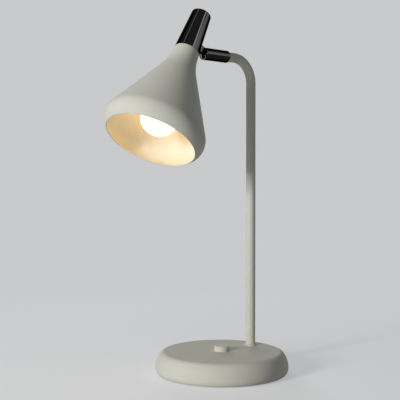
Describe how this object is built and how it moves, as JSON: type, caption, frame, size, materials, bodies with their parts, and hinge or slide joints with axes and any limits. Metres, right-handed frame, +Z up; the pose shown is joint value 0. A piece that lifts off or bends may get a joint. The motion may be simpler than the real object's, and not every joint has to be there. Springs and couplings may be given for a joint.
{
  "type": "desk lamp",
  "caption": "Small desk lamp with a round weighted base, push button, bent tube stem, swivelling arm end and a tilting conical shade with a rounded mouth.",
  "frame": {"origin": "middle of the underside of the base, on the table", "axes": "+Z up, +X from the stem towards the head, +Y to the lamp's left"},
  "size_m": [0.2539, 0.165, 0.4448],
  "materials": {
    "cream": "matt cream powder coat",
    "chrome": "polished black chrome plate",
    "zinc": "bright zinc plate",
    "iron": "rough casting, painted dark grey",
    "brass": "turned brass",
    "pad": "closed-cell foam rubber",
    "rubber": "moulded rubber",
    "black_plastic": "moulded thermoset, matt black",
    "cream_plastic": "moulded cream plastic",
    "white_plastic": "moulded white nylon",
    "fibre": "pressed fibre",
    "lead": "wire insulation",
    "opal_glass": "opal glass, lit warm white"
  },
  "bodies": {
    "root": {"base_cover": "cream", "base_weight": "iron", "base_plate": "zinc", "base_pad": "pad", "plate_screws": "zinc", "cord_grommet": "rubber", "terminal_block": "white_plastic", "terminal_screws": "brass", "base_leads": "lead", "switch_body": "black_plastic", "switch_screws": "zinc", "switch_spring": "zinc", "stem_collar": "cream", "stem_tube": "cream", "stem_pipe": "zinc", "stem_washer": "zinc", "stem_nut": "brass", "stem_leads": "lead", "arm_bush": "brass", "swivel_bolt": "zinc", "swivel_washers": "fibre"},
    "button": {"switch_button": "cream_plastic"},
    "barrel": {"barrel_sleeve": "chrome", "barrel_fork": "chrome", "tilt_pin": "zinc", "tilt_washers": "fibre"},
    "head": {"head_knuckle": "chrome", "shade": "cream", "holder_cap": "chrome", "cap_grub_screw": "zinc", "holder_pipe": "zinc", "holder_nut": "zinc", "lampholder": "black_plastic", "holder_sleeve": "brass", "holder_contact": "brass", "bulb_glass": "opal_glass", "bulb_base": "zinc", "bulb_contact": "brass", "head_leads": "lead"}
  },
  "joints": [
    {"name": "button_press", "type": "slide", "parent": "root", "child": "button", "axis": [0, 0, -1], "range_m": [0, 0.0025], "stiffness_N_per_m": 300, "springref_m": -0.003, "deforming": ["switch_spring"]},
    {"name": "barrel_swivel", "type": "hinge", "parent": "root", "child": "barrel", "pos_m": [0.0119, 0, 0.3912], "axis": [1, 0, 0], "range_deg": [-96, 84]},
    {"name": "head_tilt", "type": "hinge", "parent": "barrel", "child": "head", "pos_m": [0.0265, 0, 0.3912], "axis": [0, -0.9945, -0.1045], "range_deg": [-35, 50]}
  ]
}
